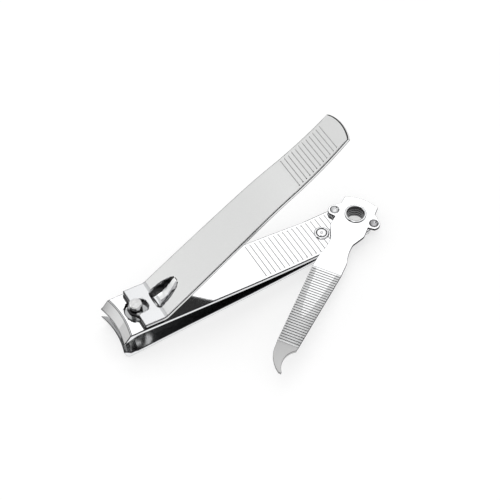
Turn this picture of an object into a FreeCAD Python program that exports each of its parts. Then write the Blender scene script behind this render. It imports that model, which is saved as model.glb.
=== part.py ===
"""Large lever nail clipper with a swing-out nail file.

Frame: +Z up, origin on the axis of the hollow tail rivet at the plane the clipper stands on.
The blades point along -X and the tail along +X.  The clipper is drawn ready to cut: jaws open,
lever raised over the jaws and the file swung out to the -Y side.  Lengths are in millimetres.
"""
import FreeCAD, Part
import math
import os
from FreeCAD import Vector

# ---------------------------------------------------------------- driving dimensions
SHEET = 1.3                 # thickness of both jaws
FOOT_RIM = 0.35             # rivet heads that stand proud under the lower jaw
HEAD_HALF = 6.5             # half width of the jaws at the blades
TAIL_HALF = 5.5             # half width of the jaws at the tail, and its end radius
TAPER_X = -38.0             # the jaws start to narrow here, going to the tail
TAIL_NECK_X = -0.8          # the tapered sides meet the round tail here
SIDE_BOW = 0.2              # the tapered sides bow outwards by this much
FLEX_X = -14.0              # the upper jaw bends like a leaf spring across this line
JAW_RISE = 7.18             # slope of the open upper jaw, degrees
CLAMP_TOP = FOOT_RIM + 2 * SHEET
SPLIT = 0.06                # width of the flexure line between the two nodes of the upper jaw

EDGE_X = -75.55             # middle of the upper cutting edge
EDGE_Z = 7.56
LOWER_EDGE_X = -75.8        # middle of the lower cutting edge
LOWER_EDGE_Z = 4.66
EDGE_RADIUS = 22.7          # plan radius of the hollow cutting edges
HEAD_BOTTOM = 0.92          # underside of the lower jaw at the head

PIN_X = -69.1
PIN_R = 1.65
PIN_TOP = 13.5
PIN_HEAD_R = 3.1
PIN_HEAD_H = 0.88
JAW_HOLE_R = 3.1            # clearance hole in the upper jaw
LOWER_HOLE_R = PIN_R + 0.05
NOTCH_ROOT_X = -69.7        # flat at the back of the pin's notch
NOTCH_HALF_H = 1.0

LEVER_T = 1.25
LEVER_GAP = 0.25            # daylight between the lever's foot and the upper jaw
PIVOT_X = -70.9             # middle of the lever's front bar, where the lever turns
FOOT_LENGTH = 7.1           # pivot to bend
ARM_RISE = 33.7             # slope of the raised arm, degrees
ARM_STRAIGHT = 34.0         # flat length of the arm before it dips
ARM_TURN = 46.0             # the dip ends here, and the thumb end curls up
ARM_LENGTH = 66.8
ARM_DIP_R = 120.0
ARM_CURL_R = 80.0
LEVER_HALF = 6.3            # half width at the bend
LEVER_TIP_HALF = 4.8
BAR_FRONT = 0.5             # front of the bar ahead of the pivot
FOOT_FRONT = 1.1            # the foot's side corners, behind the pivot
BAR_BACK_R = 1.12           # rounded back of the bar, about the pivot
SLOT_HALF = 2.05            # half width of the slot that the pin comes through
BEND_R = 1.5
# pressing behind the bend, as (distance along the arm, half width, depth)
TROUGH = [(-0.4, 2.9, 0.1), (0.5, 2.9, 0.85), (2.5, 2.45, 1.7), (4.2, 2.05, 0.85), (7.5, 1.3, 0.1)]
CREASE_DIP = (0.1, 1.75, 2.6)   # hollow at the bend that runs the pressing into the slot: s, height, radius
FULCRUM = [(-0.4, 2.8, 0.1), (2.5, 2.4, 1.65), (3.9, 2.0, 0.6), (4.9, 1.5, -0.25)]  # the outer skin

EYELET_R = 2.45             # open hole through the tail
EYELET_WALL = 0.3
EYELET_FLANGE_R = 3.1
RIVET_X = -11.3
RIVET_R = 1.45
RIVET_HEAD_R = 2.15

FILE_T = 0.8
FILE_GAP = 0.45             # the file's head rides this far above the upper jaw
FILE_SWING = 34.8           # how far the file is swung out, degrees from stowed
FILE_CRANK = 17.0           # the blade tilts up from here so that it clears the sloping jaw
FILE_RIDGES = (21.6, 49.4)  # ridged zone, measured from the hollow rivet
FILE_RIDGE_COUNT = 32
FILE_TIP = 58.7
FILE_TIP_THIN = 0.24        # the hooked end is ground down by this much
EAR = (1.0, 5.9)            # centre of each dimpled ear
EAR_R = 1.8
DIMPLE_R = 1.3
BUMP_R = 3.2

GRIP_START = -32.8          # first grip groove across the upper jaw
GRIP_PITCH = 1.5
GRIP_COUNT = 19
GRIP_MARGIN = 0.75          # plain metal left at the ends of the grooves
GRIP_TAPER = 0.022          # the grooves shorten by this much per millimetre towards the tail
LEVER_GRIP = (48.7, 62.0)   # first and last groove of the lever, from the bend
LEVER_GRIP_COUNT = 12

BIG = 40.0
SLOPE = math.tan(math.radians(JAW_RISE))


# ---------------------------------------------------------------- small helpers
def xz(points):
    """Points given as (x, z) in the plane y = 0."""
    return [Vector(x, 0, z) for x, z in points]


def face_of(points):
    return Part.Face(Part.makePolygon(points + [points[0]]))


def slab(points, half_width):
    """Extrude an (x, z) outline across the clipper."""
    face = face_of(xz(points))
    face.translate(Vector(0, -half_width, 0))
    return face.extrude(Vector(0, 2 * half_width, 0))


def disc(x, y, z, radius, height):
    return Part.makeCylinder(radius, height, Vector(x, y, z))


def arc(a, b, c):
    return Part.Arc(a, b, c).toShape()


def line(a, b):
    return Part.LineSegment(a, b).toShape()


def turned(points, x=0.0):
    """Turn an (r, z) outline about a vertical axis at x."""
    face = face_of([Vector(x + r, 0, z) for r, z in points])
    return face.revolve(Vector(x, 0, 0), Vector(0, 0, 1), 360)


def ground(points, centre_x):
    """Turn an (x, z) outline part of the way about a vertical axis, as a grinding wheel cuts."""
    face = face_of(xz(points))
    axis = Vector(centre_x, 0, 0)
    face.rotate(axis, Vector(0, 0, 1), -30)
    return face.revolve(axis, Vector(0, 0, 1), 60)


def jaw_top(x):
    """Height of the open upper jaw's top face."""
    return CLAMP_TOP + max(0.0, FLEX_X - x) * SLOPE


# ---------------------------------------------------------------- jaws
def jaw_plan():
    """Plan outline that both jaws share, as a tall prism."""
    front = -80.0
    neck_y = math.sqrt(TAIL_HALF ** 2 - TAIL_NECK_X ** 2)
    side_mid = ((TAPER_X + TAIL_NECK_X) / 2, (HEAD_HALF + neck_y) / 2 + SIDE_BOW)

    def at(x, y):
        return Vector(x, y, 0)

    edges = [line(at(front, HEAD_HALF), at(TAPER_X, HEAD_HALF)),
             arc(at(TAPER_X, HEAD_HALF), at(*side_mid), at(TAIL_NECK_X, neck_y)),
             arc(at(TAIL_NECK_X, neck_y), at(TAIL_HALF, 0), at(TAIL_NECK_X, -neck_y)),
             arc(at(TAIL_NECK_X, -neck_y), at(side_mid[0], -side_mid[1]), at(TAPER_X, -HEAD_HALF)),
             line(at(TAPER_X, -HEAD_HALF), at(front, -HEAD_HALF)),
             line(at(front, -HEAD_HALF), at(front, HEAD_HALF))]
    return Part.Face(Part.Wire(edges)).extrude(Vector(0, 0, BIG))


def lower_jaw():
    bottom = [(7, FOOT_RIM), (FLEX_X, FOOT_RIM), (-58, HEAD_BOTTOM), (-78, HEAD_BOTTOM)]
    top = [(-78, 5.4), (-74.6, 5.4), (-73.4, 3.1), (-72.0, HEAD_BOTTOM + SHEET),
           (-58, HEAD_BOTTOM + SHEET), (FLEX_X, FOOT_RIM + SHEET), (7, FOOT_RIM + SHEET)]
    blank = slab(bottom + top, 8).common(jaw_plan())
    outside = [(LOWER_EDGE_X, LOWER_EDGE_Z), (LOWER_EDGE_X + 0.35, 2.9), (LOWER_EDGE_X + 0.75, 1.85),
               (LOWER_EDGE_X + 1.25, 1.2), (LOWER_EDGE_X + 1.9, HEAD_BOTTOM), (LOWER_EDGE_X + 1.9, 0),
               (-82, 0), (-82, 6), (LOWER_EDGE_X, 6)]
    inside = [(LOWER_EDGE_X, LOWER_EDGE_Z), (LOWER_EDGE_X + 1.1, 3.7), (LOWER_EDGE_X + 2.0, 2.6),
              (LOWER_EDGE_X + 3.3, 2.6), (LOWER_EDGE_X + 3.3, 6.5), (LOWER_EDGE_X - 0.4, 6.5)]
    body = blank.cut(ground(outside, EDGE_X - EDGE_RADIUS)).cut(ground(inside, EDGE_X - EDGE_RADIUS))
    holes = [disc(PIN_X, 0, -1, LOWER_HOLE_R, 9), disc(0, 0, -1, EYELET_R + EYELET_WALL, 9),
             disc(RIVET_X, 0, -1, RIVET_R, 9)]
    return body.cut(holes)


def upper_jaw_blank():
    """The upper jaw as stamped, before it is divided at the flexure line."""
    under = [(7, CLAMP_TOP - SHEET), (FLEX_X, CLAMP_TOP - SHEET), (-71.6, jaw_top(-71.6) - SHEET * 1.008),
             (-73.6, 8.2), (-79, 6.4)]
    over = [(-79, jaw_top(-79)), (FLEX_X, CLAMP_TOP), (7, CLAMP_TOP)]
    blank = slab(under + over, 8).common(jaw_plan())
    bevel = [(EDGE_X, EDGE_Z), (EDGE_X + 2.1, jaw_top(EDGE_X + 2.1) - 0.12),
             (EDGE_X + 2.45, jaw_top(EDGE_X)), (EDGE_X + 2.45, 13), (-84, 13), (-84, 5), (EDGE_X, 5)]
    hollow = [(EDGE_X, EDGE_Z), (EDGE_X + 1.3, 8.1), (EDGE_X + 2.6, 8.45), (EDGE_X + 3.9, 8.45),
              (EDGE_X + 3.9, 5), (EDGE_X, 5)]
    body = blank.cut(ground(bevel, EDGE_X - EDGE_RADIUS)).cut(ground(hollow, EDGE_X - EDGE_RADIUS))
    return body.cut([grip_groove(i) for i in range(GRIP_COUNT)])


def grip_groove(index):
    """One fine groove across the upper jaw's grip."""
    x = GRIP_START + index * GRIP_PITCH
    half = HEAD_HALF - GRIP_MARGIN - (x - GRIP_START) * GRIP_TAPER
    groove = slab([(-0.2, 0.05), (0.2, 0.05), (0, -0.17)], half)
    if x < FLEX_X:
        groove.rotate(Vector(0, 0, 0), Vector(0, 1, 0), JAW_RISE)
    groove.translate(Vector(x, 0, jaw_top(x)))
    return groove


def upper_jaw():
    """The sprung part of the upper jaw, from the flexure line to the blade."""
    keep = Part.makeBox(BIG * 2, BIG, BIG, Vector(FLEX_X - SPLIT / 2 - BIG * 2, -BIG / 2, 0))
    return upper_jaw_blank().common(keep).cut(disc(PIN_X, 0, 0, JAW_HOLE_R, 20))


def upper_jaw_tail():
    """The riveted part of the upper jaw, from the flexure line to the tail."""
    keep = Part.makeBox(BIG, BIG, BIG, Vector(FLEX_X + SPLIT / 2, -BIG / 2, 0))
    holes = [disc(0, 0, 0, EYELET_R + EYELET_WALL, 9), disc(RIVET_X, 0, 0, RIVET_R, 9)]
    return upper_jaw_blank().common(keep).cut(holes)


# ---------------------------------------------------------------- rivets and pin
def hollow_rivet():
    """Rolled eyelet at the tail: the file's pivot and the key-ring hole."""
    outer = EYELET_R + EYELET_WALL
    top = CLAMP_TOP + FILE_GAP + FILE_T
    return turned([(EYELET_R, 0), (EYELET_FLANGE_R + 0.1, 0), (EYELET_FLANGE_R + 0.2, FOOT_RIM * 0.5),
                   (EYELET_FLANGE_R + 0.1, FOOT_RIM), (outer, FOOT_RIM), (outer, top + 0.05),
                   (EYELET_FLANGE_R, top + 0.05), (EYELET_FLANGE_R, top + 0.2),
                   (EYELET_FLANGE_R - 0.2, top + 0.36), (EYELET_R + 0.2, top + 0.36),
                   (EYELET_R, top + 0.15)])


def jaw_rivet():
    """Solid rivet that clamps the two jaws together."""
    top = CLAMP_TOP
    return turned([(0, 0), (RIVET_HEAD_R - 0.15, 0), (RIVET_HEAD_R, FOOT_RIM), (RIVET_R, FOOT_RIM),
                   (RIVET_R, top), (RIVET_HEAD_R, top), (RIVET_HEAD_R, top + 0.15),
                   (RIVET_HEAD_R - 0.3, top + 0.38), (RIVET_HEAD_R - 0.7, top + 0.42),
                   (0, top + 0.3)], RIVET_X)


def pivot_point():
    """Middle of the lever's front bar."""
    rise = LEVER_GAP + LEVER_T / 2
    x_foot = PIVOT_X - rise * math.sin(math.radians(JAW_RISE))
    return Vector(PIVOT_X, 0, jaw_top(x_foot) + rise * math.cos(math.radians(JAW_RISE)))


def pin():
    """Headed post that holds the lever's front bar in its notch."""
    body = turned([(0, 0), (PIN_HEAD_R - 0.35, 0), (PIN_HEAD_R, 0.35), (PIN_HEAD_R, PIN_HEAD_H),
                   (PIN_R, PIN_HEAD_H), (PIN_R, PIN_TOP - 0.3), (PIN_R - 0.3, PIN_TOP),
                   (0, PIN_TOP)], PIN_X)
    middle = pivot_point().z
    notch = Part.makeBox(4, 6, 2 * NOTCH_HALF_H, Vector(NOTCH_ROOT_X - 4, -3, middle - NOTCH_HALF_H))
    return body.cut(notch)


# ---------------------------------------------------------------- lever
def arm_curve(s):
    """Height and slope of the arm's thumb end against its flat part: it dips, and then curls up."""
    dip = min(max(0.0, s - ARM_STRAIGHT), ARM_TURN - ARM_STRAIGHT)
    curl = max(0.0, s - ARM_TURN)
    height = curl ** 2 / (2 * ARM_CURL_R) - dip ** 2 / (2 * ARM_DIP_R) - curl * dip / ARM_DIP_R
    return height, curl / ARM_CURL_R - dip / ARM_DIP_R


def lever_side():
    """Side view of the lever in the arm's own frame: x along the arm from the bend, z up."""
    fold = math.radians(ARM_RISE + JAW_RISE)
    foot_up = Vector(math.sin(fold), 0, math.cos(fold))
    half_up = Vector(math.sin(fold / 2), 0, math.cos(fold / 2))
    centre = Vector(BEND_R * math.tan(fold / 2), 0, BEND_R)
    outer = BEND_R + LEVER_T
    toe = Vector(-math.cos(fold), 0, math.sin(fold)) * (FOOT_LENGTH + BAR_FRONT)
    toe_low = toe - foot_up * LEVER_T
    drop = Vector(0, 0, -LEVER_T)
    stops = [ARM_STRAIGHT, (ARM_STRAIGHT + ARM_TURN) / 2, ARM_TURN, (ARM_TURN + ARM_LENGTH) / 2, ARM_LENGTH]
    flat, dip, turn, curl, end = [Vector(s, 0, arm_curve(s)[0]) for s in stops]
    arm_foot = centre - Vector(0, 0, BEND_R)
    arm_heel = centre - Vector(0, 0, outer)
    edges = [line(toe, centre - foot_up * BEND_R),
             arc(centre - foot_up * BEND_R, centre - half_up * BEND_R, arm_foot),
             line(arm_foot, flat), arc(flat, dip, turn), arc(turn, curl, end), line(end, end + drop),
             arc(end + drop, curl + drop, turn + drop), arc(turn + drop, dip + drop, flat + drop),
             line(flat + drop, arm_heel),
             arc(arm_heel, centre - half_up * outer, centre - foot_up * outer),
             line(centre - foot_up * outer, toe_low), line(toe_low, toe)]
    face = Part.Face(Part.Wire(edges))
    face.translate(Vector(0, -8, 0))
    return face.extrude(Vector(0, 16, 0))


def arm_plan():
    """Plan outline of the arm: parallel at the bend, then tapering to a softly rounded end."""
    corner = ARM_LENGTH - 1.9
    shoulder = ARM_LENGTH - 0.95
    left = [(-10, LEVER_HALF), (2, LEVER_HALF), (36, 5.75), (corner, LEVER_TIP_HALF),
            (corner + 0.65, LEVER_TIP_HALF - 0.25), (shoulder, LEVER_TIP_HALF - 0.8)]
    up = [Vector(x, y, -15) for x, y in left]
    down = [Vector(x, -y, -15) for x, y in left]
    edges = [line(up[0], up[1]), arc(up[1], up[2], up[3]), arc(up[3], up[4], up[5]),
             arc(up[5], Vector(ARM_LENGTH, 0, -15), down[5]), arc(down[5], down[4], down[3]),
             arc(down[3], down[2], down[1]), line(down[1], down[0]), line(down[0], up[0])]
    return Part.Face(Part.Wire(edges)).extrude(Vector(0, 0, BIG))


def trough(sections, grow, chord_z):
    """Tapered pressing behind the bend.  grow widens and deepens it to make its outer skin."""
    wires = []
    for s, half, depth in sections:
        low = Vector(s, 0, -depth - grow)
        left = Vector(s, half + grow * 0.5, chord_z)
        right = Vector(s, -half - grow * 0.5, chord_z)
        wires.append(Part.Wire([arc(left, low, right), line(right, left)]))
    return Part.makeLoft(wires, True, True)


def foot_frame(shape):
    """Place a shape drawn in the foot's frame: x back along the foot from the pivot, z up."""
    shape.rotate(Vector(0, 0, 0), Vector(0, 1, 0), JAW_RISE)
    shape.translate(pivot_point())
    return shape


def foot_corner(side):
    """Metal cut away beside the front bar, which leaves the bar bowed ahead of the foot."""
    pts = [Vector(u, side * y, -3) for u, y in
           [(-3, 0.7), (-BAR_FRONT, 0.7), (-0.15, 1.35), (0.3, 1.85), (0.8, 2.4), (FOOT_FRONT, 3.1),
            (FOOT_FRONT, 9), (-3, 9)]]
    edges = [line(pts[0], pts[1]), arc(pts[1], pts[2], pts[3]), arc(pts[3], pts[4], pts[5]),
             line(pts[5], pts[6]), line(pts[6], pts[7]), line(pts[7], pts[0])]
    return foot_frame(Part.Face(Part.Wire(edges)).extrude(Vector(0, 0, 6)))


def foot_slot():
    """Slot for the pin.  Its front wall is the bar's rounded back, centred on the pivot."""
    back = FOOT_LENGTH - 4.15
    box = Part.makeBox(back, 2 * SLOT_HALF, 6, Vector(0, -SLOT_HALF, -3))
    end = Part.makeCylinder(SLOT_HALF, 6, Vector(back, 0, -3))
    bar = Part.makeCylinder(BAR_BACK_R, 14, Vector(0, -7, 0), Vector(0, 1, 0))
    return foot_frame(box.fuse(end).cut(bar))


def lever_groove(index):
    """One fine groove across the thumb end of the lever, in the arm's frame."""
    first, last = LEVER_GRIP
    s = first + index * (last - first) / (LEVER_GRIP_COUNT - 1)
    half = LEVER_TIP_HALF + 0.7 - 0.05 * (s - first) - 0.75
    groove = slab([(-0.2, 0.05), (0.2, 0.05), (0, -0.15)], half)
    height, slope = arm_curve(s)
    groove.rotate(Vector(0, 0, 0), Vector(0, 1, 0), -math.degrees(slope))
    groove.translate(Vector(s, 0, height))
    return groove


def lever():
    """Pressed lever: front bar, foot, bend, fulcrum pressing, arm and grip grooves."""
    body = lever_side().common(arm_plan())
    body = body.fuse(trough(FULCRUM, LEVER_T, -LEVER_T / 2)).cut(trough(TROUGH, 0, 0.02))
    s, height, radius = CREASE_DIP
    body = body.cut(Part.makeSphere(radius, Vector(s, 0, height)))
    body = body.cut([lever_groove(i) for i in range(LEVER_GRIP_COUNT)])
    body.rotate(Vector(0, 0, 0), Vector(0, 1, 0), -ARM_RISE)
    slope = math.radians(JAW_RISE)
    along = Vector(math.cos(slope), 0, -math.sin(slope)) * FOOT_LENGTH
    above = Vector(math.sin(slope), 0, math.cos(slope)) * (LEVER_T / 2)
    body.translate(pivot_point() + along + above)
    return body.cut([foot_corner(1), foot_corner(-1), foot_slot()])


# ---------------------------------------------------------------- file
def file_plan():
    """Outline of the file from above, x from the hollow rivet to the hooked tip."""
    def at(x, y):
        return Vector(x, y, -5)

    def side(s):
        """The head, an ear and the neck on one side, from the back to the blade."""
        return [line(at(-4.5, s * 5.0), at(-2.0, s * 5.1)), line(at(-2.0, s * 5.1), at(-0.5, s * 6.7)),
                arc(at(-0.5, s * 6.7), at(EAR[0], s * (EAR[1] + EAR_R)), at(2.85, s * 4.95)),
                line(at(2.85, s * 4.95), at(6.5, s * 5.1)), line(at(6.5, s * 5.1), at(10.3, s * 3.3)),
                arc(at(10.3, s * 3.3), at(11.6, s * 3.22), at(16.5, s * 4.0)),
                line(at(16.5, s * 4.0), at(21.4, s * 4.2))]

    ridge_end = FILE_RIDGES[1]
    tip = FILE_TIP
    hook = [line(at(21.4, 4.2), at(tip - 8.2, 2.95)),
            arc(at(tip - 8.2, 2.95), at(tip - 7.2, 1.95), at(tip - 5.6, 1.2)),
            arc(at(tip - 5.6, 1.2), at(tip - 3.1, 1.05), at(tip - 0.5, 2.1)),
            arc(at(tip - 0.5, 2.1), at(tip - 0.05, 1.9), at(tip - 0.15, 1.35)),
            arc(at(tip - 0.15, 1.35), at(tip - 2.9, -1.2), at(tip - 7.9, -2.65)),
            line(at(tip - 7.9, -2.65), at(ridge_end, -2.85)), line(at(ridge_end, -2.85), at(21.4, -4.2))]
    back = arc(at(-4.5, -5.0), at(-5.65, 0), at(-4.5, 5.0))
    edges = Part.sortEdges(side(1) + hook + side(-1) + [back])[0]
    return Part.Face(Part.Wire(edges)).extrude(Vector(0, 0, BIG))


def file_groove(index):
    """One tooth gap across the ridged zone, in the flat blade's frame."""
    first, last = FILE_RIDGES
    x = first + (index + 0.5) * (last - first) / FILE_RIDGE_COUNT
    return slab([(x - 0.3, FILE_T + 0.02), (x + 0.3, FILE_T + 0.02), (x, FILE_T - 0.2)], 6)


def blade_frame(shape):
    """Tilt a shape drawn on the flat blade up from the crank."""
    shape.rotate(Vector(FILE_CRANK, 0, 0), Vector(0, 1, 0), -JAW_RISE)
    return shape


def nail_file():
    """Sheet-steel file with two dimpled ears, a cranked neck, a ridged blade and a hooked cleaner."""
    reach = FILE_TIP + 6 - FILE_CRANK
    rise = math.radians(JAW_RISE)
    bend = [(FILE_CRANK, 0), (FILE_CRANK + reach * math.cos(rise), reach * math.sin(rise))]
    over = [(x - FILE_T * math.sin(rise) * (x > FILE_CRANK), z + FILE_T) for x, z in reversed(bend)]
    body = slab([(-9, 0)] + bend + over + [(-9, FILE_T)], 9).common(file_plan())
    body = body.cut([blade_frame(file_groove(i)) for i in range(FILE_RIDGE_COUNT)])
    thin = slab([(FILE_RIDGES[1] + 0.6, FILE_T), (FILE_TIP + 2, FILE_T - FILE_TIP_THIN),
                 (FILE_TIP + 2, FILE_T + 2), (FILE_RIDGES[1] + 0.6, FILE_T + 2)], 6)
    body = body.cut(blade_frame(thin))
    collar = turned([(0, -FILE_GAP + 0.03), (3.7, -FILE_GAP + 0.03), (4.2, 0.1), (0, 0.1)])
    body = body.fuse(collar)
    for side in (1, -1):
        bump = Part.makeSphere(BUMP_R, Vector(EAR[0], side * EAR[1], BUMP_R - FILE_GAP + 0.05))
        cap = Part.makeBox(6, 6, 1, Vector(EAR[0] - 3, side * EAR[1] - 3, -0.9))
        dimple = Part.makeSphere(DIMPLE_R, Vector(EAR[0], side * EAR[1], DIMPLE_R + 0.05))
        body = body.fuse(bump.common(cap)).cut(dimple)
    body = body.cut(disc(0, 0, -2, EYELET_R + EYELET_WALL + 0.05, 5))
    body.rotate(Vector(0, 0, 0), Vector(0, 0, 1), 180 + FILE_SWING)
    body.translate(Vector(0, 0, CLAMP_TOP + FILE_GAP))
    return body


NODES = {
    "lower_jaw": lower_jaw,
    "upper_jaw": upper_jaw,
    "upper_jaw_tail": upper_jaw_tail,
    "hollow_rivet": hollow_rivet,
    "jaw_rivet": jaw_rivet,
    "pin": pin,
    "lever": lever,
    "nail_file": nail_file,
}


def main():
    os.makedirs("parts", exist_ok=True)
    for name, build in NODES.items():
        shape = build()
        if len(shape.Solids) == 1:
            shape = shape.Solids[0]
        print(name, shape.isValid(), len(shape.Solids), round(shape.Volume, 1))
        shape.exportStep("parts/" + name + ".step")


main()
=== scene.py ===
"""Looks of the nail clipper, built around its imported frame.

Sizes are in millimetres, and MM turns them into metres as each mesh is made.
"""
import math

import bmesh
import bpy
from mathutils import Matrix, Vector

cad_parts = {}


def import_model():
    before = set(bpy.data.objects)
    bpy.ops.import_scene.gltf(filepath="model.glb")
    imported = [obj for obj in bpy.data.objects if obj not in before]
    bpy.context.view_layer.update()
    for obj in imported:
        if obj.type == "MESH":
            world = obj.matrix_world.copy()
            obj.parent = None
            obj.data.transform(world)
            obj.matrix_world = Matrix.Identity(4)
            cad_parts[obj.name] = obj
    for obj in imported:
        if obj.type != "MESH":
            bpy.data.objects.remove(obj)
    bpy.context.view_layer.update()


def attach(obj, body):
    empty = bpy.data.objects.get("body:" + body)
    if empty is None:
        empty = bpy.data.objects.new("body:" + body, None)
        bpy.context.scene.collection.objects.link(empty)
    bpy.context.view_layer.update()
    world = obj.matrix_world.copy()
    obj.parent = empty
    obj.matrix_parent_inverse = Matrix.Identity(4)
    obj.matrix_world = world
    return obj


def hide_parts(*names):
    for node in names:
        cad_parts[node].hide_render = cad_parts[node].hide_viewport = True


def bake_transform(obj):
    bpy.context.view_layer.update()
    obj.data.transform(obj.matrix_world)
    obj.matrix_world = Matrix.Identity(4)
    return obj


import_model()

MM = 0.001
COLLECTION = bpy.context.scene.collection
RIM_ANGLE = 50               # edges sharper than this are rims, in degrees
DOME = [(0.0, 0.04), (0.22, 0.08), (0.38, 0.8), (1.0, 1.0)]   # height on the dome, brightness


# ---------------------------------------------------------------- node helpers
class Nodes:
    """Short calls for one material's node tree."""

    def __init__(self, name):
        self.material = bpy.data.materials.new(name)
        self.material.use_nodes = True
        self.tree = self.material.node_tree
        self.tree.nodes.clear()
        self.shader = self.add("ShaderNodeBsdfPrincipled")
        out = self.add("ShaderNodeOutputMaterial")
        self.join(self.shader.outputs[0], out.inputs["Surface"])
        self.place = self.add("ShaderNodeTexCoord").outputs["Object"]

    def add(self, kind, **values):
        node = self.tree.nodes.new(kind)
        for key, value in values.items():
            setattr(node, key, value)
        return node

    def join(self, a, b):
        self.tree.links.new(a, b)

    def stretched(self, scale, rotation=(0, 0, 0)):
        """The object's own coordinates, scaled."""
        mapping = self.add("ShaderNodeMapping")
        mapping.inputs["Scale"].default_value = scale
        mapping.inputs["Rotation"].default_value = rotation
        self.join(self.place, mapping.inputs["Vector"])
        return mapping.outputs[0]

    def noise(self, vector, scale, detail=3.0, roughness=0.55):
        node = self.add("ShaderNodeTexNoise")
        node.inputs["Scale"].default_value = scale
        node.inputs["Detail"].default_value = detail
        node.inputs["Roughness"].default_value = roughness
        self.join(vector, node.inputs["Vector"])
        return node.outputs["Fac"]

    def ramp(self, value, stops):
        node = self.add("ShaderNodeValToRGB")
        node.color_ramp.elements[0].position = stops[0][0]
        node.color_ramp.elements[0].color = (*stops[0][1], 1)
        node.color_ramp.elements[1].position = stops[-1][0]
        node.color_ramp.elements[1].color = (*stops[-1][1], 1)
        for position, colour in stops[1:-1]:
            node.color_ramp.elements.new(position).color = (*colour, 1)
        self.join(value, node.inputs[0])
        return node.outputs[0]

    def span(self, value, low, high):
        """Map 0..1 to low..high."""
        node = self.add("ShaderNodeMapRange")
        node.inputs["To Min"].default_value = low
        node.inputs["To Max"].default_value = high
        self.join(value, node.inputs["Value"])
        return node.outputs[0]

    def bump(self, height, strength, distance):
        node = self.add("ShaderNodeBump")
        node.inputs["Strength"].default_value = strength
        node.inputs["Distance"].default_value = distance
        self.join(height, node.inputs["Height"])
        return node.outputs[0]


def grey(v):
    return (v, v, v)


def chrome(name, tint, low, high):
    """Polished chrome plate: fine wiping marks in the gloss and a faint orange-peel."""
    n = Nodes(name)
    n.shader.inputs["Metallic"].default_value = 1.0
    wipe = n.noise(n.stretched((60, 900, 900), (0, 0, 0.3)), 6.0, 6)
    tone = n.ramp(n.noise(n.place, 90, 2), [(0.3, tuple(c * 0.965 for c in tint)), (0.7, tint)])
    n.join(tone, n.shader.inputs["Base Color"])
    n.join(n.span(wipe, low, high), n.shader.inputs["Roughness"])
    n.join(n.bump(n.noise(n.place, 420, 2), 0.25, 0.00002), n.shader.inputs["Normal"])
    return n.material


def satin(name, tint, low, high, stretch=(40, 2600, 2600), depth=0.000004, dark=0.95):
    """Brushed metal whose fine lines run along the object."""
    n = Nodes(name)
    n.shader.inputs["Metallic"].default_value = 1.0
    lines = n.noise(n.stretched(stretch), 1.6, 8, 0.65)
    tone = n.ramp(lines, [(0.25, tuple(c * dark for c in tint)), (0.75, tint)])
    n.join(tone, n.shader.inputs["Base Color"])
    n.join(n.span(lines, low, high), n.shader.inputs["Roughness"])
    n.join(n.bump(lines, 0.35, depth), n.shader.inputs["Normal"])
    return n.material


CHROME = chrome("chrome_plate", (0.86, 0.865, 0.875), 0.035, 0.09)
RIVET = chrome("rivet_chrome", (0.84, 0.845, 0.855), 0.06, 0.14)
FILE = chrome("file_chrome", (0.87, 0.875, 0.885), 0.05, 0.12)
LEVER = satin("lever_satin", (0.80, 0.805, 0.80), 0.26, 0.40)
HOOK = satin("satin_tip", (0.5, 0.5, 0.5), 0.3, 0.45)
GROUND = satin("ground_bevel", (0.66, 0.66, 0.66), 0.25, 0.4, stretch=(2600, 60, 60))
# painted shade: a darker copy of the ground bevel for its far end
GROUND_PAINTED_SHADE = satin("ground_bevel_painted_shade", (0.54, 0.54, 0.54), 0.25, 0.4, stretch=(2600, 60, 60))
TURNED = satin("turned_pin", (0.88, 0.88, 0.88), 0.12, 0.24, stretch=(60, 60, 3000))
# painted shade: dark chrome for faces between the jaws and the wall of the pin hole
INNER_SHADE = chrome("inner_painted_shade", (0.34, 0.345, 0.35), 0.10, 0.22)
# painted shade in the grip grooves
GROOVE_SHADE = satin("groove_painted_shade", (0.50, 0.50, 0.50), 0.3, 0.45)
# painted shade: dark lines along the jaw's ridge rows and in the file's tooth valleys
RIDGE_SHADE_LINE = satin("ridge_painted_shade_line", (0.12, 0.12, 0.12), 0.3, 0.45)
# painted shade: near black for the rounded edges, the file's rims and the rivet's ring valley
EDGE_SHADE = satin("rounded_edge_painted_shade", (0.04, 0.04, 0.042), 0.2, 0.3)
SHEARED = satin("sheared_edge", (0.80, 0.80, 0.80), 0.12, 0.24, stretch=(60, 60, 3000))
SHADE = chrome("recess_shade", (0.03, 0.03, 0.03), 0.1, 0.2)
# painted half shade: mid grey for the pressing's walls, the lever's front bar, the eyelet's bore marks and one
# ear's dimple wall
HALF_SHADE = chrome("painted_half_shade", (0.40, 0.40, 0.41), 0.1, 0.2)
# painted shade: near black for the lever's underside
UNDERSIDE_SHADE = satin("lever_underside_painted_shade", (0.07, 0.07, 0.07), 0.2, 0.3)
# the foot's chrome, also used as pale painted shade on one ear's dimple wall of the file
FOOT_CHROME_AND_PALE_SHADE = chrome("foot_chrome_and_painted_pale_shade", (0.63, 0.635, 0.645), 0.05, 0.14)
TEETH_STEEL = satin("cut_teeth", (0.84, 0.845, 0.85), 0.2, 0.34, stretch=(900, 900, 900))
SAWN = satin("sawn_top", (0.80, 0.80, 0.80), 0.35, 0.5, stretch=(500, 1500, 500), depth=0.00005, dark=0.55)


# ---------------------------------------------------------------- mesh helpers
def mesh_object(name, bm, materials=()):
    mesh = bpy.data.meshes.new(name)
    for material in materials:
        mesh.materials.append(material)
    bm.to_mesh(mesh)
    bm.free()
    obj = bpy.data.objects.new(name, mesh)
    COLLECTION.objects.link(obj)
    return obj


def apply_modifiers(obj):
    graph = bpy.context.evaluated_depsgraph_get()
    mesh = bpy.data.meshes.new_from_object(obj.evaluated_get(graph), depsgraph=graph)
    obj.modifiers.clear()
    obj.data = mesh
    return obj


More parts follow.
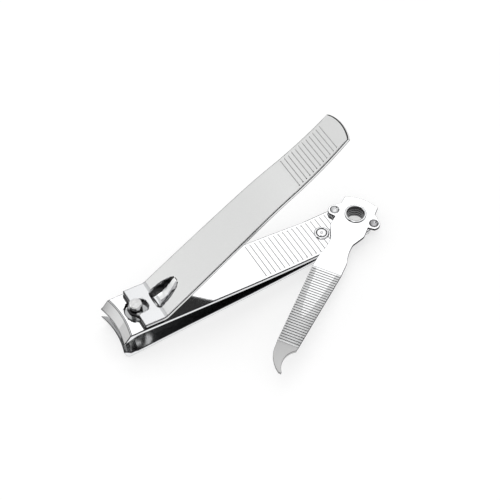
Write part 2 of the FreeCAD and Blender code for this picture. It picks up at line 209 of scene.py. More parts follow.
def skin(name, materials, top, bottom, paint, place=lambda p: p):
    """A closed plate from a grid of top points and a grid of bottom points, in millimetres.

    paint(row, column, side) gives a face's material; side is "top", "bottom" or "rim".
    """
    bm = bmesh.new()
    grids = [[[bm.verts.new(place(Vector(p)) * MM) for p in row] for row in grid] for grid in (top, bottom)]
    up, down = grids
    rows, columns = len(up), len(up[0])

    def face(verts, row, column, side):
        bm.faces.new(verts).material_index = materials.index(paint(row, column, side))

    for i in range(rows - 1):
        for j in range(columns - 1):
            face((up[i][j], up[i + 1][j], up[i + 1][j + 1], up[i][j + 1]), i, j, "top")
            face((down[i][j], down[i][j + 1], down[i + 1][j + 1], down[i + 1][j]), i, j, "bottom")
        face((up[i][0], down[i][0], down[i + 1][0], up[i + 1][0]), i, 0, "rim")
        face((up[i][-1], up[i + 1][-1], down[i + 1][-1], down[i][-1]), i, columns, "rim")
    for j in range(columns - 1):
        face((up[0][j], up[0][j + 1], down[0][j + 1], down[0][j]), 0, j, "rim")
        face((up[-1][j], down[-1][j], down[-1][j + 1], up[-1][j + 1]), rows, j, "rim")
    bmesh.ops.recalc_face_normals(bm, faces=bm.faces)
    return mesh_object(name, bm, materials)


def spun(name, materials, profile, x, steps=96):
    """A solid of revolution about a vertical axis at x, from an (r, z) outline in millimetres."""
    bm = bmesh.new()
    rings = []
    for r, z in profile:
        if r == 0:
            rings.append([bm.verts.new(Vector((x, 0, z)) * MM)])
            continue
        ring = []
        for k in range(steps):
            turn = 2 * math.pi * k / steps
            ring.append(bm.verts.new(Vector((x + r * math.cos(turn), r * math.sin(turn), z)) * MM))
        rings.append(ring)
    closed = profile[0][0] != 0
    pairs = list(zip(rings, rings[1:])) + ([(rings[-1], rings[0])] if closed else [])
    for a, b in pairs:
        for k in range(steps):
            n = (k + 1) % steps
            if len(a) == 1:
                bm.faces.new((a[0], b[k], b[n]))
            elif len(b) == 1:
                bm.faces.new((a[k], b[0], a[n]))
            else:
                bm.faces.new((a[k], b[k], b[n], a[n]))
    bmesh.ops.recalc_face_normals(bm, faces=bm.faces)
    return mesh_object(name, bm, materials)


def prism(outline, low, high, place=lambda p: p):
    """A cutter: an (x, y) outline between two heights, in millimetres."""
    bm = bmesh.new()
    ends = [[bm.verts.new(place(Vector((x, y, z))) * MM) for x, y in outline] for z in (low, high)]
    bm.faces.new(ends[0])
    bm.faces.new(list(reversed(ends[1])))
    for k in range(len(outline)):
        n = (k + 1) % len(outline)
        bm.faces.new((ends[0][k], ends[1][k], ends[1][n], ends[0][n]))
    bmesh.ops.recalc_face_normals(bm, faces=bm.faces)
    return mesh_object("cutter", bm)


def ring(x, y, radius, steps=72):
    return [(x + radius * math.cos(2 * math.pi * k / steps), y + radius * math.sin(2 * math.pi * k / steps))
            for k in range(steps)]


def cut(obj, *cutters):
    for cutter in cutters:
        modifier = obj.modifiers.new("cut", "BOOLEAN")
        modifier.operation = "DIFFERENCE"
        modifier.solver = "EXACT"
        modifier.object = cutter
        modifier.material_mode = "INDEX"
        apply_modifiers(obj)
        bpy.data.objects.remove(cutter)
    return obj


def repaint(obj, choose):
    """Give each face the material that choose(face) names, if it names one."""
    for face in obj.data.polygons:
        material = choose(face)
        if material:
            face.material_index = obj.data.materials.find(material.name)


def soften(obj, rim, facet, segments=3, facet_angle=14, choose=None, material=None):
    """Round the rims by one radius and the shallow facet lines by a smaller one, in millimetres.

    choose(kinds) says whether to round an edge between faces of those two materials.
    """
    bm = bmesh.new()
    bm.from_mesh(obj.data)
    bmesh.ops.remove_doubles(bm, verts=bm.verts, dist=0.001 * MM)
    layer = bm.edges.layers.float.new("bevel_weight_edge")
    for edge in bm.edges:
        kinds = [obj.data.materials[face.material_index] for face in edge.link_faces]
        if len(kinds) != 2 or (choose and not choose(kinds)):
            continue
        angle = math.degrees(edge.calc_face_angle(0))
        edge[layer] = 1.0 if angle > RIM_ANGLE else facet / rim if angle > facet_angle else 0.0
    bm.to_mesh(obj.data)
    bm.free()
    bevel = obj.modifiers.new("edge", "BEVEL")
    bevel.width = rim * MM
    bevel.segments = segments
    bevel.limit_method = "WEIGHT"
    bevel.use_clamp_overlap = False
    # if given, the new rounded faces take that material, which paints shade along the edges
    bevel.material = obj.data.materials.find(material.name) if material else -1
    apply_modifiers(obj)
    obj.data.shade_smooth()
    obj.data.set_sharp_from_angle(angle=math.radians(35))
    normals = obj.modifiers.new("normals", "WEIGHTED_NORMAL")
    normals.keep_sharp = True
    normals.weight = 60
    return apply_modifiers(obj)


def dress(obj, body, slot, *nodes):
    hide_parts(*nodes)
    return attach(obj, body) if body else obj


def between(stations, t):
    """Straight-line interpolation in a list of (t, value, value ...)."""
    if t <= stations[0][0]:
        return stations[0][1:]
    for a, b in zip(stations, stations[1:]):
        if t <= b[0]:
            k = (t - a[0]) / (b[0] - a[0])
            return tuple(p + (q - p) * k for p, q in zip(a[1:], b[1:]))
    return stations[-1][1:]


def eased(stations, t):
    """As between, with a soft start and end to each span."""
    for a, b in zip(stations, stations[1:]):
        if a[0] <= t <= b[0]:
            k = (t - a[0]) / (b[0] - a[0])
            k = k * k * (3 - 2 * k)
            return tuple(p + (q - p) * k for p, q in zip(a[1:], b[1:]))
    return stations[0][1:] if t < stations[0][0] else stations[-1][1:]


def columns(count):
    """Positions across a plate from -1 to 1, closer together towards the rims."""
    return [math.sin(math.pi / 2 * (2 * k / count - 1)) * 0.35 + (2 * k / count - 1) * 0.65
            for k in range(count + 1)]


# ---------------------------------------------------------------- dimensions shared with the frame
SHEET = 1.3
FOOT_RIM = 0.35              # the rivets' heads stand proud under the lower jaw by this much
CLAMP_TOP = 2.95             # top of the two jaws where the rivets clamp them
FLEX_X = -14.0               # the upper jaw starts to rise here
JAW_RISE = math.radians(7.18)
SLOPE = math.tan(JAW_RISE)
EDGE_X, EDGE_Z, EDGE_RADIUS = -75.55, 7.56, 22.7
BOW_R = EDGE_RADIUS + 4      # curve of the first row behind the blade
BOW_FADE = 7.0               # rows straighten over this length
HEAD_HALF, NECK_HALF = 6.5, 5.44
TAPER_X, TAPER = -38.0, 37.2     # the jaws narrow from here, over this length
SIDE_BOW = 0.2
TAIL_R = 5.5
TAIL_TURN = math.radians(98.4)   # the tail's round end goes this far each way
TAIL_ROW = -5.2              # rows start to bow into the tail's end here
JAW_COLUMNS = 40
PAINTED_SHADE_COLUMNS = 15          # far end of the ground bevel, which gets painted shade
PIN_X, PIN_R = -69.1, 1.65
JAW_HOLE_R = 3.1
RIVET_X, RIVET_R = -11.3, 1.45
EYELET_R, EYELET_OUTER_R = 2.45, 2.75
FILE_T = 0.8
FILE_BASE = CLAMP_TOP + 0.45     # underside of the file's head
GRIP = [-32.8 + 1.5 * k for k in range(19)]
GROOVE_HALF, GROOVE_DEPTH = 0.13, 0.12
GRIP_MARGIN, GRIP_FADE = 0.75, 0.25   # plain metal at a groove's ends, and how fast it runs out


def groove_run(half, y):
    """1 along a grip groove, fading to 0 at its ends."""
    return min(1.0, max(0.0, (half - GRIP_MARGIN - abs(y)) / GRIP_FADE))


def in_groove(x, grooves):
    """Whether the strip of faces that starts at x is a wall of a groove, which gets painted shade."""
    return any(-0.05 < g - x < 0.14 for g in grooves)


def half_width(x):
    """Half width of both jaws."""
    if x < TAPER_X:
        return HEAD_HALF
    k = (x - TAPER_X) / TAPER
    return HEAD_HALF + (NECK_HALF - HEAD_HALF) * k + SIDE_BOW * 4 * k * (1 - k)


def jaw_rows(stations, heights, grooves=()):
    """Grids of top and bottom points, and each row's kind.

    stations are (distance behind the edge, top, bottom, kind).
    """
    across = columns(JAW_COLUMNS)
    top, bottom, kinds = [], [], []

    def add(points, zs, kind):
        top.append([(x, y, z[0]) for (x, y), z in zip(points, zs)])
        bottom.append([(x, y, z[1]) for (x, y), z in zip(points, zs)])
        kinds.append(kind)

    for distance, high, low, kind in stations:
        radius = EDGE_RADIUS + distance
        points = [(EDGE_X - EDGE_RADIUS + math.sqrt(radius ** 2 - (HEAD_HALF * v) ** 2), HEAD_HALF * v)
                  for v in across]
        add(points, [(high, low)] * len(across), kind)
    start = EDGE_X + stations[-1][0]
    xs = [start + 0.8 + 0.85 * k for k in range(7)]
    while xs[-1] < TAIL_ROW - 1:
        xs.append(xs[-1] + 1.0)
    if grooves:
        xs = [x for x in xs if x < grooves[0] - 0.6]
        for g in grooves:
            if g < TAIL_ROW:
                xs += [g - 0.75, g - GROOVE_HALF, g, g + GROOVE_HALF]
    xs = sorted(set(round(x, 3) for x in xs if x < TAIL_ROW)) + [TAIL_ROW]
    for x in xs:
        bow = max(0.0, 1 - (x - start) / BOW_FADE)
        w = half_width(x)
        points = []
        for v in across:
            y = w * v
            points.append((x + bow * (math.sqrt(BOW_R ** 2 - y * y) - BOW_R), y))
        near = min((abs(x - g) for g in grooves), default=9)
        zs = []
        for px, py in points:
            high, low = heights(px)
            if near < GROOVE_HALF:
                high -= GROOVE_DEPTH * (1 - near / GROOVE_HALF) * groove_run(w, py)
            zs.append((high, low))
        add(points, zs, "groove" if in_groove(x, grooves) else "plain")
    w = half_width(TAIL_ROW)
    for k in range(1, 11):
        t = k / 10
        points = []
        for v in across:
            turn = v * TAIL_TURN
            points.append(((1 - t) * TAIL_ROW + t * TAIL_R * math.cos(turn),
                           (1 - t) * w * v + t * TAIL_R * math.sin(turn)))
        add(points, [heights(x) for x, y in points], "plain")
    return top, bottom, kinds


# ---------------------------------------------------------------- jaws
def upper_heights(x):
    high = CLAMP_TOP + max(0.0, FLEX_X - x) * SLOPE
    return high, high - SHEET


def lower_heights(x):
    low = FOOT_RIM + 0.57 * min(1.0, max(0.0, (FLEX_X - x) / 44))
    return low + SHEET, low


def make_upper_jaw():
    def ridge(d):
        return upper_heights(EDGE_X + d)[0]

    stations = [(0.0, EDGE_Z + 0.05, EDGE_Z, "bevel"), (0.5, 8.28, 7.8, "bevel"), (1.0, 8.92, 8.0, "bevel"),
                (1.55, 9.62, 8.18, "bevel"), (2.1, ridge(2.1) - 0.12, 8.33, "line"),
                (2.26, ridge(2.26) - 0.05, 8.38, "plain"), (2.45, ridge(2.45), 8.43, "line"),
                (2.6, ridge(2.6), 8.5, "plain"), (2.9, ridge(2.9), 8.6, "plain"),
                (3.9, ridge(3.9), ridge(3.9) - SHEET, "plain")]
    top, bottom, kinds = jaw_rows(stations, upper_heights, GRIP)

    def paint(row, column, side):
        # painted shade on the underside, which faces the lower jaw
        if side == "bottom":
            return INNER_SHADE
        kind = kinds[min(row, len(kinds) - 1)]
        # the ground bevel, with painted shade on its far end
        if side == "top" and kind == "bevel":
            return GROUND if column > PAINTED_SHADE_COLUMNS else GROUND_PAINTED_SHADE
        # painted shade: a dark line along each ridge row
        if side == "top" and kind == "line":
            return RIDGE_SHADE_LINE
        # painted shade on the groove walls
        return GROOVE_SHADE if side == "top" and kind == "groove" and 2 < column < JAW_COLUMNS - 3 else CHROME

    # painted shade on the wall of the pin hole
    def pin_hole(face):
        across = math.hypot(face.center.x - PIN_X * MM, face.center.y)
        if abs(face.normal.z) < 0.2 and across < (JAW_HOLE_R + 0.1) * MM:
            return INNER_SHADE

    finishes = (CHROME, GROUND, INNER_SHADE, GROOVE_SHADE, EDGE_SHADE, GROUND_PAINTED_SHADE, RIDGE_SHADE_LINE)
    obj = skin("upper_jaw_plate", finishes, top, bottom, paint)
    cut(obj, prism(ring(PIN_X, 0, JAW_HOLE_R), 5, 14), prism(ring(0, 0, EYELET_OUTER_R), 0, 6),
        prism(ring(RIVET_X, 0, RIVET_R), 0, 6))
    repaint(obj, pin_hole)
    soften(obj, 0.28, 0.05, material=EDGE_SHADE, choose=lambda kinds: GROOVE_SHADE not in kinds)
    dress(obj, None, "chrome_steel", "upper_jaw", "upper_jaw_tail")
    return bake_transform(obj)


def make_lower_jaw():
    top_line = [(-0.25, 4.66), (0.85, 3.7), (1.75, 2.6), (2.9, 2.6), (3.6, 2.22)]
    low_line = [(-0.25, 4.61), (0.1, 2.9), (0.5, 1.85), (1.0, 1.2), (1.65, 0.92), (3.6, 0.92)]
    stations = [(d, between(top_line, d)[0], between(low_line, d)[0], "bevel" if d < 1.6 else "plain")
                for d in (-0.25, 0.1, 0.5, 1.0, 1.65, 2.2, 2.9, 3.6)]
    top, bottom, kinds = jaw_rows(stations, lower_heights)

    def paint(row, column, side):
        # painted shade on the top, which faces the upper jaw
        if side == "top":
            return INNER_SHADE
        return GROUND if side == "bottom" and kinds[min(row, len(kinds) - 1)] == "bevel" else CHROME

    obj = skin("lower_jaw_plate", (CHROME, GROUND, INNER_SHADE, EDGE_SHADE), top, bottom, paint)
    cut(obj, prism(ring(PIN_X, 0, PIN_R + 0.05), -1, 6), prism(ring(0, 0, EYELET_OUTER_R), -1, 6),
        prism(ring(RIVET_X, 0, RIVET_R), -1, 6))
    soften(obj, 0.2, 0.05, material=EDGE_SHADE)
    return dress(obj, "base", "chrome_steel", "lower_jaw")


# ---------------------------------------------------------------- rivets and pin
def make_eyelet():
    top = FILE_BASE + FILE_T
    profile = [(EYELET_R, 0.0), (2.62, 0.0), (3.2, 0.02), (3.3, 0.12), (3.3, 0.25), (3.2, FOOT_RIM),
               (EYELET_OUTER_R, FOOT_RIM), (EYELET_OUTER_R, top + 0.05), (3.02, top + 0.05),
               (3.1, top + 0.13), (3.06, top + 0.26), (2.92, top + 0.35), (2.72, top + 0.36), (2.56, top + 0.3),
               (2.47, top + 0.18), (EYELET_R, top)]
    z = top - 0.2
    while z > 0.5:
        profile += [(EYELET_R, z), (EYELET_R + 0.07, z - 0.1), (EYELET_R, z - 0.34)]
        z -= 0.85

    def bore(face):
        """Painted shade on the bore wall, with painted half shade on the up-facing faces of its draw marks."""
        across = math.hypot(face.center.x, face.center.y)
        if across < (EYELET_R + 0.08) * MM and face.center.z < (top + 0.1) * MM:
            return HALF_SHADE if across > (EYELET_R + 0.02) * MM and face.normal.z > 0 else SHADE

    obj = spun("rolled_eyelet", (RIVET, SHADE, HALF_SHADE, EDGE_SHADE), profile, 0)
    repaint(obj, bore)
    soften(obj, 0.09, 0.02, 2, material=EDGE_SHADE)
    return dress(obj, "base", "chrome_rivet", "hollow_rivet")


def make_rivet():
    top = CLAMP_TOP
    profile = [(0, 0), (1.9, 0), (2.05, 0.05), (2.15, 0.2), (2.15, 0.34), (RIVET_R, FOOT_RIM), (RIVET_R, top),
               (2.12, top), (2.15, top + 0.1), (2.08, top + 0.24), (1.92, top + 0.33), (1.66, top + 0.36),
               (1.52, top + 0.32), (1.46, top + 0.2), (1.38, top + 0.2), (1.3, top + 0.3), (1.05, top + 0.38),
               (0.7, top + 0.41), (0.4, top + 0.37), (0.2, top + 0.28), (0, top + 0.26)]

    # painted shade in the valley of the head's ring
    def ring_valley(face):
        across = math.hypot(face.center.x - RIVET_X * MM, face.center.y)
        if 1.3 * MM < across < 1.5 * MM and face.center.z > top * MM:
            return EDGE_SHADE

    obj = spun("rivet_head", (RIVET, EDGE_SHADE), profile, RIVET_X)
    repaint(obj, ring_valley)
    soften(obj, 0.04, 0.03, 2, material=EDGE_SHADE)
    return dress(obj, "base", "chrome_rivet", "jaw_rivet")


def make_pin():
    profile = [(0, 0), (2.7, 0), (2.95, 0.1), (3.1, 0.35), (3.1, 0.75), (2.98, 0.86), (PIN_R, 0.88),
               (PIN_R, 13.12), (1.6, 13.24), (1.42, 13.46), (1.34, 13.5), (0.85, 13.47), (0.4, 13.5),
               (0, 13.48)]
    root, middle, half = -69.7, PIVOT.z, 1
    slack = 0.01

    def shaded(face):
        """Sawn top, and painted shade on the post's side in the notch and above it."""
        c = face.center / MM
        if c.z > 13.44:
            return SAWN
        above = c.z > middle + half + slack and abs(face.normal.z) < 0.3
        inside = c.x < root + slack and abs(c.z - middle) < half + slack
        return SHADE if above or inside else None

    obj = spun("notched_post", (TURNED, SAWN, SHADE), profile, PIN_X)
    cut(obj, prism([(-75, -3), (root, -3), (root, 3), (-75, 3)], middle - half, middle + half))
    repaint(obj, shaded)
    soften(obj, 0.06, 0.04, 2)
    return dress(obj, "pin", "pin_steel", "pin")


# ---------------------------------------------------------------- lever
PIVOT = Vector((-70.9, 0, 10.996))    # middle of the front bar
LEVER_T = 1.25
LEVER_HALF = 6.3
LEVER_COLUMNS = 90
RISE, DIP = math.radians(33.7), JAW_RISE
FOLD = RISE + DIP
BEND_R = 1.5
FOOT = 7.1                   # pivot to bend
BAR_FRONT = 0.5              # front of the bar ahead of the pivot
FOOT_CORNER = 1.1            # the foot's side corners, behind the pivot
SLOT_HALF = 2.05
FLAT, TURN = 34.0, 46.0      # the arm dips between these, and then curls up
DIP_R, CURL_R = 120.0, 80.0
# pressing behind the bend, seen from above and below, as (distance along the arm, half width, depth)
RECESS = [(-0.7, 2.7, 0.0), (0.7, 3.1, 1.1), (2.5, 2.9, 1.6), (8.4, 1.8, 0.0)]
PRESSED = [(-0.4, 3.3, 0.0), (1.0, 3.2, 0.75), (2.5, 2.9, 1.65), (3.9, 2.4, 0.6), (4.9, 1.8, 0.0)]
LEVER_GRIP = [48.7 + 13.3 * k / 11 for k in range(12)]
LEVER_GROOVE_DEPTH = 0.11
TIP_ROW, TIP_ROWS, TIP_STEP, TIP_BOW = 63.4, 8, 2.1, 1.3    # the arm's end: its last rows and their bow


def lever_half(s):
    """Half width of the arm."""
    k = (s - 2) / 62.9
    return LEVER_HALF if s < 2 else LEVER_HALF - 1.5 * k + 0.26 * 4 * k * (1 - k)


def arm_curve(s):
    """Height and slope of the arm's thumb end against its flat part."""
    dip = min(max(0.0, s - FLAT), TURN - FLAT)
    curl = max(0.0, s - TURN)
    height = curl ** 2 / (2 * CURL_R) - dip ** 2 / (2 * DIP_R) - curl * dip / DIP_R
    return height, curl / CURL_R - dip / DIP_R


def channel(stations, s, y):
    """Depth of a pressed channel."""
    half, depth = eased(stations, s)
    return depth * (1 - min(1.0, abs(y) / half) ** 2.6)


def make_lever():
    foot = Vector((math.cos(DIP), 0, -math.sin(DIP)))
    foot_up = Vector((math.sin(DIP), 0, math.cos(DIP)))
    arm = Vector((math.cos(RISE), 0, math.sin(RISE)))
    arm_up = Vector((-math.sin(RISE), 0, math.cos(RISE)))
    corner = PIVOT + foot * FOOT + foot_up * (LEVER_T / 2)
    reach = BEND_R * math.tan(FOLD / 2)
    centre = corner + arm * reach + arm_up * BEND_R
    across = columns(LEVER_COLUMNS)
    top, bottom, finish = [], [], []

    def recess_finish(s, y):
        """Painted shade on the far wall and the rounded end, painted half shade along its outer rim and on the
        near wall, and the plain floor of the pressing.
        """
        v = y / eased(RECESS, s)[0]
        rounded = math.hypot(max(0.0, s - 5.9) / 2.4, v)
        if channel(RECESS, s, y) < 0.02 or rounded > 1:
            return None
        if v > 0.36 or rounded > 0.86:
            return HALF_SHADE if v > 0.88 else SHADE
        if s < 0.8:
            return FOOT_CHROME_AND_PALE_SHADE
        return LEVER if v > -0.24 else HALF_SHADE

    def row(s, origin, up, half, groove=0.0, bow=Vector()):
        high, low = [], []
        for v in across:
            y = half * v
            sink = channel(RECESS, s, y)
            push = channel(PRESSED, s, y)
            if groove:
                sink += groove * groove_run(half, y)
            shift = bow * max(0.0, 1 - v * v) ** 0.8
            high.append(origin + shift - up * sink + Vector((0, y, 0)))
            low.append(origin + shift - up * (LEVER_T + push) + Vector((0, y, 0)))
        top.append(high)
        bottom.append(low)
        # painted shade on the walls of the lever's grooves
        if in_groove(s, LEVER_GRIP):
            finish.append([GROOVE_SHADE if abs(v) < 0.82 else LEVER for v in across])
            return
        # painted half shade on the front bar, the foot's chrome behind it
        plain = HALF_SHADE if s < 0.9 - FOOT else FOOT_CHROME_AND_PALE_SHADE if s < 0.6 else LEVER
        finish.append([recess_finish(s, half * v) or plain for v in across])

    for k in range(25):
        u = -BAR_FRONT + k * (FOOT - reach + BAR_FRONT) / 24
        row(u - FOOT, PIVOT + foot * u + foot_up * (LEVER_T / 2), foot_up, LEVER_HALF)
    for k in range(1, 10):
        turn = DIP - FOLD * k / 10
        up = Vector((math.sin(turn), 0, math.cos(turn)))
        row(-reach + 2 * reach * k / 10, centre - up * BEND_R, up, LEVER_HALF)
    stops = [reach + 0.24 * k for k in range(34)]
    while stops[-1] < LEVER_GRIP[0] - 2:
        stops.append(stops[-1] + 1.3)
    for g in LEVER_GRIP:
        stops += [g - 0.6, g - GROOVE_HALF, g, g + GROOVE_HALF]
    stops += [62.8, TIP_ROW]
    for s in sorted(set(round(s, 4) for s in stops)):
        height, slope = arm_curve(s)
        up = (arm_up - arm * slope).normalized()
        near = min(abs(s - g) for g in LEVER_GRIP)
        row(s, corner + arm * s + arm_up * height, up, lever_half(s),
            LEVER_GROOVE_DEPTH * max(0.0, 1 - near / GROOVE_HALF))
    for k in range(1, TIP_ROWS + 1):
        t = k / TIP_ROWS
        s = TIP_ROW + TIP_STEP * t
        height, slope = arm_curve(s)
        up = (arm_up - arm * slope).normalized()
        bow = (arm + arm_up * slope) * TIP_BOW * t
        row(s, corner + arm * s + arm_up * height, up, lever_half(s), bow=bow)

    def paint(r, c, side):
        if side == "top":
            return finish[r][c]
        # painted shade on the underside
        return SHEARED if side == "rim" else UNDERSIDE_SHADE

    finishes = (LEVER, SHEARED, FOOT_CHROME_AND_PALE_SHADE, UNDERSIDE_SHADE, GROOVE_SHADE, EDGE_SHADE, SHADE, HALF_SHADE)
    obj = skin("thumb_lever", finishes, top, bottom, paint)

    def on_foot(p):
        return PIVOT + foot * p.x + Vector((0, p.y, 0)) + foot_up * p.z

    def foot_wall(face):
        """The foot's chrome on its outer sides, and painted shade on its inner walls."""
        u = (face.center / MM - PIVOT).dot(foot)
        if u < FOOT - 0.6 and abs(face.normal.dot(foot_up)) < 0.3:
            return FOOT_CHROME_AND_PALE_SHADE if abs(face.center.y) > 6.2 * MM else SHADE

    back = FOOT - 4.15
    turns = [math.pi * k / 24 for k in range(1, 24)]
    slot = [(FOOT_CORNER, -SLOT_HALF), (back, -SLOT_HALF)]
    slot += [(back + SLOT_HALF * math.sin(a), -SLOT_HALF * math.cos(a)) for a in turns]
    slot += [(back, SLOT_HALF), (FOOT_CORNER, SLOT_HALF)]
    side = [(-3, 0.7), (-BAR_FRONT, 0.7), (-0.34, 1.05), (-0.15, 1.35), (0.08, 1.62), (0.3, 1.85),
            (0.56, 2.1), (0.8, 2.4), (1.0, 2.75), (FOOT_CORNER, 3.1), (FOOT_CORNER, 9), (-3, 9)]
    cut(obj, prism(slot, -4, 4, on_foot), prism(side, -4, 4, on_foot),
        prism([(x, -y) for x, y in side], -4, 4, on_foot))
    repaint(obj, foot_wall)
    soften(obj, 0.3, 0.05, facet_angle=20, material=EDGE_SHADE, choose=lambda kinds: GROOVE_SHADE not in kinds)
    return dress(obj, "lever", "satin_lever", "lever")


# ---------------------------------------------------------------- file
TIP = 58.7
TIP_THIN = 0.24              # the hooked end is ground down by this much
CRANK = 17.0                 # the blade tilts up from here
FILE_COLUMNS = 64
EAR = (1.0, 5.9)             # centre of each dimpled ear
BUMP_R, BUMP = 1.6, 0.4      # low bump under each ear
SWING = math.radians(34.8)
TEETH = (21.6, 49.4, 32)     # first and last valley, and how many


def arc_through(x, a, b, c):
    """Height at x of the circle through three points, on the side of the middle point."""
    (x1, y1), (x2, y2), (x3, y3) = a, b, c
    d = 2 * (x1 * (y2 - y3) + x2 * (y3 - y1) + x3 * (y1 - y2))
    s1, s2, s3 = x1 * x1 + y1 * y1, x2 * x2 + y2 * y2, x3 * x3 + y3 * y3
    cx = (s1 * (y2 - y3) + s2 * (y3 - y1) + s3 * (y1 - y2)) / d
    cy = (s1 * (x3 - x2) + s2 * (x1 - x3) + s3 * (x2 - x1)) / d
    reach = math.sqrt(max(0.0, (x1 - cx) ** 2 + (y1 - cy) ** 2 - (x - cx) ** 2))
    return cy + reach if y2 > cy else cy - reach


def file_side(x):
    """Half outline of the head, neck and blade."""
    if x < -0.5:
        return between([(-4.5, 5.0), (-2.0, 5.1), (-0.5, 6.7)], x)[0]
    if x < 2.85:
        return arc_through(x, (-0.5, 6.7), (1.0, 7.7), (2.85, 4.95))
    if x < 10.3:
        return between([(2.85, 4.95), (6.5, 5.1), (10.3, 3.3)], x)[0]
    if x < 16.5:
        return arc_through(x, (10.3, 3.3), (11.6, 3.22), (16.5, 4.0))
    return between([(16.5, 4.0), (21.4, 4.2), (TIP - 8.2, 2.95)], x)[0]


def file_edges(x):
    """Outline at x: the hooked side and the plain side."""
    plain = -file_side(x) if x < 21.4 else between([(21.4, -4.2), (49.4, -2.85), (TIP - 7.9, -2.65)], x)[0]
    if x > TIP - 7.9:
        plain = arc_through(x, (TIP - 7.9, -2.65), (TIP - 2.9, -1.2), (TIP - 0.1, 1.45))
    if x < TIP - 8.2:
        return file_side(x), plain
    if x < TIP - 5.6:
        return arc_through(x, (TIP - 8.2, 2.95), (TIP - 7.2, 1.95), (TIP - 5.6, 1.2)), plain
    hook = arc_through(min(x, TIP - 0.5), (TIP - 5.6, 1.2), (TIP - 3.1, 1.05), (TIP - 0.5, 2.1))
    return max(hook, plain + 0.05), plain


def make_file():
    across = columns(FILE_COLUMNS)
    teeth_start, teeth_end, count = TEETH
    pitch = (teeth_end - teeth_start) / count
    xs = [-5.0 + 0.25 * k for k in range(0, 34)] + [3.5 + 0.55 * k for k in range(0, 33)]
    for k in range(count):
        x = teeth_start + k * pitch
        xs += [x, x + 0.12, x + pitch / 2, x + pitch - 0.12]
    xs += [teeth_end + 0.25 * k for k in range(0, 36)] + [TIP - 0.35, TIP - 0.18, TIP - 0.08]
    xs = sorted(set(round(x, 3) for x in xs if x <= TIP - 0.08))
    swing = Matrix.Rotation(math.pi + SWING, 3, "Z")

    def place(p):
        x, y, z = p
        if x > CRANK:
            d = x - CRANK
            run, lift = math.cos(JAW_RISE), math.sin(JAW_RISE)
            p = Vector((CRANK + d * run - z * lift, y, d * lift + z * run))
        return swing @ p + Vector((0, 0, FILE_BASE))

    top, bottom, zone = [], [], []
    for n, x in enumerate(xs):
        left, right = file_edges(x)
        high, low = [], []
        phase = (x - teeth_start) / pitch
        toothed = teeth_start < x < teeth_end - 0.01
        for j, v in enumerate(across):
            y = (left + right) / 2 - (left - right) / 2 * v
            px = x
            end = -4.5 - 1.15 * (1 - v * v)
            if n == 0:
                px = end
            elif x < -1.5:
                px = x + (end + 5.0) * (-1.5 - x) / 3.5
            z, zl = FILE_T, 0.0
            if toothed:
                valley = abs(phase - round(phase)) * pitch < 0.1
                z -= 0.2 if valley else 0.0
                if not valley and j % 2 and 1 < j < len(across) - 2:
                    z -= 0.04
            if x > teeth_end + 0.6:
                z -= TIP_THIN * (x - teeth_end - 0.6) / (TIP - teeth_end)
            for side in (1, -1):
                d = math.hypot(px - EAR[0], y - side * EAR[1])
                if d < BUMP_R:
                    zl -= BUMP * (1 - (d / BUMP_R) ** 2)
            high.append((px, y, z))
            low.append((px, y, zl))
        top.append(high)
        bottom.append(low)
        if x >= teeth_end - 0.01:
            zone.append(HOOK)
        elif x < teeth_start - 0.01:
            zone.append(FILE)
        else:
            # painted shade in each tooth valley
            late = phase % 1 * pitch
            zone.append(RIDGE_SHADE_LINE if late < 0.1 or late > pitch - 0.14 else TEETH_STEEL)

    def paint(row, column, side):
        kind = zone[min(row, len(zone) - 1)]
        if side == "top":
            return kind
        # painted shade on the file's rims
        return HOOK if kind == HOOK else EDGE_SHADE if side == "rim" else FILE

    def ear(side):
        return place(Vector((EAR[0], side * EAR[1], 0))) * MM

    def dimple(side):
        cup = [(0, 0.2), (0.5, 0.24), (0.95, 0.42), (1.2, 0.7), (1.26, 0.85), (1.26, 2), (0, 2)]
        deep = spun("cutter", (), cup, 0, 48)
        deep.data.transform(Matrix.Translation(ear(side)))
        return deep

    # painted shade on the dimple walls: half shade on one ear, paler shade on the other
    def dimple_wall(face):
        for side, material in ((1, HALF_SHADE), (-1, FOOT_CHROME_AND_PALE_SHADE)):
            c = face.center - ear(side)
            if math.hypot(c.x, c.y) < 1.27 * MM and 0.2 * MM < c.z < 0.79 * MM:
                return material

    finishes = (FILE, TEETH_STEEL, HOOK, EDGE_SHADE, RIDGE_SHADE_LINE, HALF_SHADE, FOOT_CHROME_AND_PALE_SHADE)
    obj = skin("file_blade", finishes, top, bottom, paint, place)
    cut(obj, prism(ring(0, 0, 2.8), 2, 6), dimple(1), dimple(-1))
    repaint(obj, dimple_wall)
    soften(obj, 0.11, 0.03, 2, facet_angle=89, material=EDGE_SHADE,
           choose=lambda kinds: not all(kind in (TEETH_STEEL, RIDGE_SHADE_LINE) for kind in kinds))
    return dress(obj, "file", "chrome_file", "nail_file")


make_lower_jaw()
make_upper_jaw()
make_eyelet()
make_rivet()
make_pin()
make_lever()
make_file()


# ---------------------------------------------------------------- floor, light and camera
FLOOR_DROP = 0.00005         # keeps the floor just clear of the pin's head, in metres


def floor():
    """Pale floor that gives off a little light, so that it stays white."""
    bm = bmesh.new()
    bmesh.ops.create_grid(bm, x_segments=1, y_segments=1, size=3.0)
    obj = mesh_object("floor", bm)
    obj.location.z = -FLOOR_DROP
    n = Nodes("pale_floor")
    n.shader.inputs["Roughness"].default_value = 0.9
    n.shader.inputs["Specular IOR Level"].default_value = 0.1
    n.shader.inputs["Emission Color"].default_value = (1, 1, 1, 1)
    n.shader.inputs["Emission Strength"].default_value = 0.55
    n.join(n.ramp(n.noise(n.place, 3), [(0.3, grey(0.46)), (0.7, grey(0.48))]), n.shader.inputs["Base Color"])
    obj.data.materials.append(n.material)


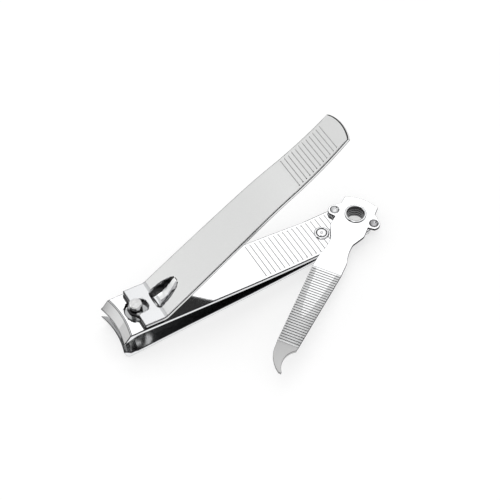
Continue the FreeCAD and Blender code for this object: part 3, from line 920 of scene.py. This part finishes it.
def area(name, place, target, size, power):
    light = bpy.data.lights.new(name, "AREA")
    light.shape = "RECTANGLE"
    light.size, light.size_y = size
    light.energy = power
    obj = bpy.data.objects.new(name, light)
    COLLECTION.objects.link(obj)
    obj.location = place
    obj.rotation_euler = (Vector(target) - Vector(place)).to_track_quat("-Z", "Y").to_euler()


def world():
    """A pale dome that darkens towards the horizon, so that polished metal has something to show."""
    w = bpy.data.worlds.new("studio")
    bpy.context.scene.world = w
    w.use_nodes = True
    tree = w.node_tree
    back = tree.nodes["Background"]
    coords = tree.nodes.new("ShaderNodeTexCoord")
    split = tree.nodes.new("ShaderNodeSeparateXYZ")
    ramp = tree.nodes.new("ShaderNodeValToRGB")
    for stop in DOME[1:-1]:
        ramp.color_ramp.elements.new(stop[0])
    for element, (position, level) in zip(ramp.color_ramp.elements, DOME):
        element.position = position
        element.color = (level, level, level, 1)
    tree.links.new(coords.outputs["Generated"], split.inputs[0])
    tree.links.new(split.outputs["Z"], ramp.inputs[0])
    tree.links.new(ramp.outputs[0], back.inputs["Color"])


def camera():
    data = bpy.data.cameras.new("camera")
    data.lens = 89.25
    data.sensor_width = 36
    data.clip_start = 0.01
    obj = bpy.data.objects.new("camera", data)
    COLLECTION.objects.link(obj)
    eye, target, roll = Vector((-0.1336, -0.1631, 0.2828)), Vector((-0.03026, 0.00719, 0)), 0.11
    turn = (target - eye).to_track_quat("-Z", "Y").to_matrix().to_4x4()
    obj.matrix_world = Matrix.Translation(eye) @ turn @ Matrix.Rotation(math.radians(roll), 4, "Z")
    bpy.context.scene.camera = obj


floor()
world()
area("back_box", (0.19, 0.31, 0.47), (-0.03, 0, 0), (0.45, 0.45), 0.3)
area("top_box", (-0.25, -0.05, 0.75), (-0.03, 0, 0), (0.5, 0.5), 0.9)
area("left_box", (-0.6, 0.34, 0.14), (-0.03, 0, 0.01), (0.4, 0.3), 0.4)
camera()
scene = bpy.context.scene
scene.view_settings.view_transform = "Standard"
scene.view_settings.look = "None"
